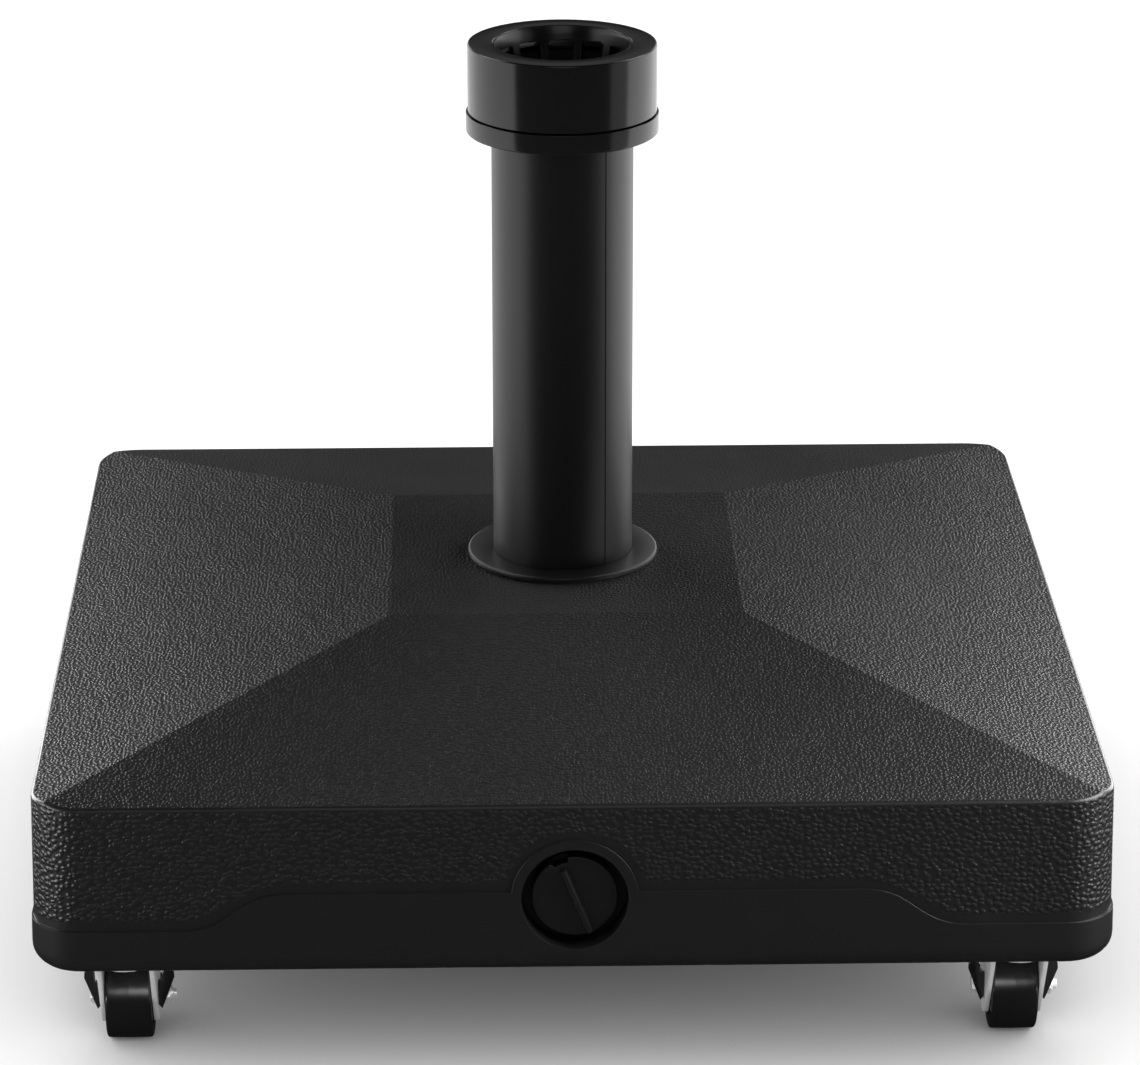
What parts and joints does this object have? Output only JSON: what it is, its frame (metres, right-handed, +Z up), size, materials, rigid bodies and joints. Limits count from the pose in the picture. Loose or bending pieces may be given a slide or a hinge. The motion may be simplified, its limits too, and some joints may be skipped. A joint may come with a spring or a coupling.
{
  "type": "parasol base",
  "caption": "Square fillable parasol base on braked swivel casters, with a hipped ballast tank, a central stem tube and a screw collar that grips the pole.",
  "frame": {"origin": "on the floor, under the middle of the stem", "axes": "+Z up along the stem, -Y towards the front, where the filler cap is, +X to the right seen from the front"},
  "size_m": [0.5996, 0.5996, 0.5189],
  "materials": {
    "tank_plastic": "pebbled grain, satin",
    "stem_plastic": "smooth satin",
    "collar_plastic": "polished",
    "collet_plastic": "smooth",
    "cap_plastic": "smooth, semi-gloss",
    "inner_plastic": "as moulded",
    "hub_plastic": "as moulded",
    "brake_plastic": "black painted, satin",
    "zinc_steel": "zinc plated",
    "bolt_steel": "zinc plated",
    "ball_steel": "polished",
    "seal_rubber": "matte",
    "tyre": "satin rubber"
  },
  "bodies": {
    "root": {"tank": "tank_plastic", "stem_tube": "stem_plastic", "stem_flange": "stem_plastic", "flange_seal": "seal_rubber", "stem_anchor": "zinc_steel", "stem_bolts": "bolt_steel", "stem_washers": "bolt_steel", "pole_bushing": "inner_plastic", "collar_base": "collar_plastic", "caster_screws": "bolt_steel", "caster_plate_front_left": "zinc_steel", "swivel_rivet_front_left": "zinc_steel", "caster_plate_front_right": "zinc_steel", "swivel_rivet_front_right": "zinc_steel", "caster_plate_rear_left": "zinc_steel", "swivel_rivet_rear_left": "zinc_steel", "caster_plate_rear_right": "zinc_steel", "swivel_rivet_rear_right": "zinc_steel"},
    "clamp_carrier": {"clamp_ring": "inner_plastic", "collet": "collet_plastic"},
    "collar": {"collar_sleeve": "collar_plastic"},
    "cap_carrier": {"cap_gasket": "seal_rubber"},
    "cap": {"filler_cap": "cap_plastic"},
    "swivel_front_left": {"bearing_balls_front_left": "ball_steel", "fork_front_left": "zinc_steel", "axle_bolt_front_left": "bolt_steel", "axle_sleeve_front_left": "bolt_steel"},
    "wheel_front_left": {"wheel_hub_front_left": "hub_plastic", "tyre_front_left": "tyre"},
    "brake_front_left": {"brake_lever_front_left": "brake_plastic"},
    "swivel_front_right": {"bearing_balls_front_right": "ball_steel", "fork_front_right": "zinc_steel", "axle_bolt_front_right": "bolt_steel", "axle_sleeve_front_right": "bolt_steel"},
    "wheel_front_right": {"wheel_hub_front_right": "hub_plastic", "tyre_front_right": "tyre"},
    "brake_front_right": {"brake_lever_front_right": "brake_plastic"},
    "swivel_rear_left": {"bearing_balls_rear_left": "ball_steel", "fork_rear_left": "zinc_steel", "axle_bolt_rear_left": "bolt_steel", "axle_sleeve_rear_left": "bolt_steel"},
    "wheel_rear_left": {"wheel_hub_rear_left": "hub_plastic", "tyre_rear_left": "tyre"},
    "brake_rear_left": {"brake_lever_rear_left": "brake_plastic"},
    "swivel_rear_right": {"bearing_balls_rear_right": "ball_steel", "fork_rear_right": "zinc_steel", "axle_bolt_rear_right": "bolt_steel", "axle_sleeve_rear_right": "bolt_steel"},
    "wheel_rear_right": {"wheel_hub_rear_right": "hub_plastic", "tyre_rear_right": "tyre"},
    "brake_rear_right": {"brake_lever_rear_right": "brake_plastic"}
  },
  "joints": [
    {"name": "collar_lift", "type": "slide", "parent": "root", "child": "clamp_carrier", "axis": [0, 0, 1], "range_m": [0, 0.00601]},
    {"name": "collar_turn", "type": "hinge", "parent": "clamp_carrier", "child": "collar", "pos_m": [0, 0, 0.494], "axis": [0, 0, 1], "range_deg": [0, 540]},
    {"name": "cap_travel", "type": "slide", "parent": "root", "child": "cap_carrier", "axis": [0, -1, 0], "range_m": [0, 0.01501]},
    {"name": "cap_turn", "type": "hinge", "parent": "cap_carrier", "child": "cap", "pos_m": [0, -0.286, 0.1134], "axis": [0, -1, 0], "range_deg": [0, 1080]},
    {"name": "swivel_turn_front_left", "type": "hinge", "parent": "root", "child": "swivel_front_left", "pos_m": [-0.25, -0.25, 0.064], "axis": [0, 0, 1], "continuous": true},
    {"name": "wheel_spin_front_left", "type": "hinge", "parent": "swivel_front_left", "child": "wheel_front_left", "pos_m": [-0.25, -0.227, 0.025], "axis": [1, 0, 0], "continuous": true},
    {"name": "brake_press_front_left", "type": "hinge", "parent": "swivel_front_left", "child": "brake_front_left", "pos_m": [-0.25, -0.227, 0.025], "axis": [-1, 0, 0], "range_deg": [0, 14]},
    {"name": "swivel_turn_front_right", "type": "hinge", "parent": "root", "child": "swivel_front_right", "pos_m": [0.25, -0.25, 0.064], "axis": [0, 0, 1], "continuous": true},
    {"name": "wheel_spin_front_right", "type": "hinge", "parent": "swivel_front_right", "child": "wheel_front_right", "pos_m": [0.25, -0.227, 0.025], "axis": [1, 0, 0], "continuous": true},
    {"name": "brake_press_front_right", "type": "hinge", "parent": "swivel_front_right", "child": "brake_front_right", "pos_m": [0.25, -0.227, 0.025], "axis": [-1, 0, 0], "range_deg": [0, 14]},
    {"name": "swivel_turn_rear_left", "type": "hinge", "parent": "root", "child": "swivel_rear_left", "pos_m": [-0.25, 0.25, 0.064], "axis": [0, 0, 1], "continuous": true},
    {"name": "wheel_spin_rear_left", "type": "hinge", "parent": "swivel_rear_left", "child": "wheel_rear_left", "pos_m": [-0.25, 0.227, 0.025], "axis": [1, 0, 0], "continuous": true},
    {"name": "brake_press_rear_left", "type": "hinge", "parent": "swivel_rear_left", "child": "brake_rear_left", "pos_m": [-0.25, 0.227, 0.025], "axis": [1, 0, 0], "range_deg": [0, 14]},
    {"name": "swivel_turn_rear_right", "type": "hinge", "parent": "root", "child": "swivel_rear_right", "pos_m": [0.25, 0.25, 0.064], "axis": [0, 0, 1], "continuous": true},
    {"name": "wheel_spin_rear_right", "type": "hinge", "parent": "swivel_rear_right", "child": "wheel_rear_right", "pos_m": [0.25, 0.227, 0.025], "axis": [1, 0, 0], "continuous": true},
    {"name": "brake_press_rear_right", "type": "hinge", "parent": "swivel_rear_right", "child": "brake_rear_right", "pos_m": [0.25, 0.227, 0.025], "axis": [1, 0, 0], "range_deg": [0, 14]}
  ],
  "couplings": [
    {"joint": "collar_lift", "follows": "collar_turn", "m_per_rad": 0.00063662},
    {"joint": "cap_travel", "follows": "cap_turn", "m_per_rad": 0.00079577}
  ]
}
